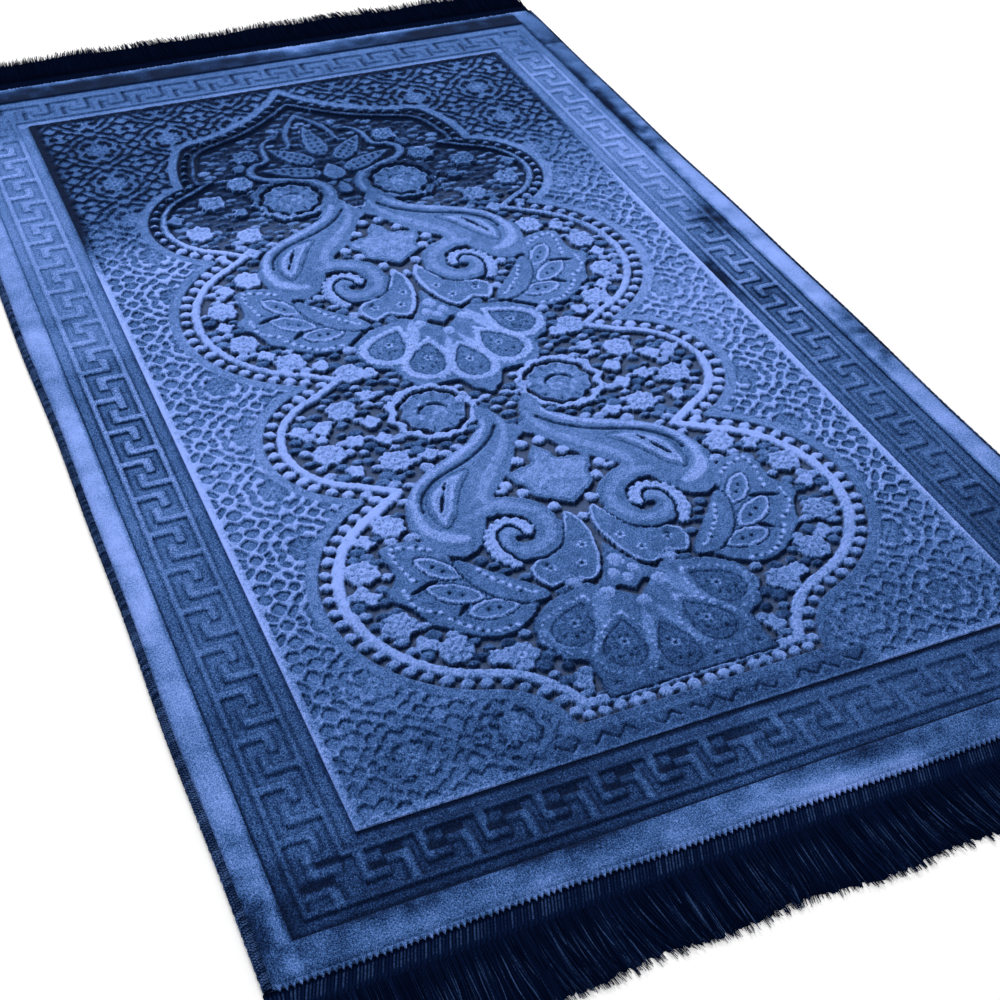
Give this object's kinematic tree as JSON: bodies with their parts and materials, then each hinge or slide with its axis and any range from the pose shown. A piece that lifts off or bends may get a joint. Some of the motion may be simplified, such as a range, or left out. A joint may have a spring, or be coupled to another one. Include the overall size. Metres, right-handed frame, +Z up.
{
  "type": "prayer rug",
  "caption": "Oblong velvet prayer rug with a carved pile of scrolls and leaves inside an arch, a Greek key border, overcast sides and a fringe at each end.",
  "frame": {"origin": "middle of the rug's footprint with its fringes, on the floor", "axes": "+X across the rug to the right, +Y along it towards the point of the arch, +Z up out of the pile"},
  "size_m": [0.7027, 1.3055, 0.0058],
  "materials": {
    "velvet_pile": "carved velvet pile, soft sheen",
    "overcast_thread": "wrapped thread, satin",
    "fringe_yarn": "twisted yarn, satin"
  },
  "bodies": {
    "root": {"velvet_sheet": "velvet_pile", "left_overcast": "overcast_thread", "right_overcast": "overcast_thread", "near_fringe": "fringe_yarn", "far_fringe": "fringe_yarn"}
  },
  "joints": []
}
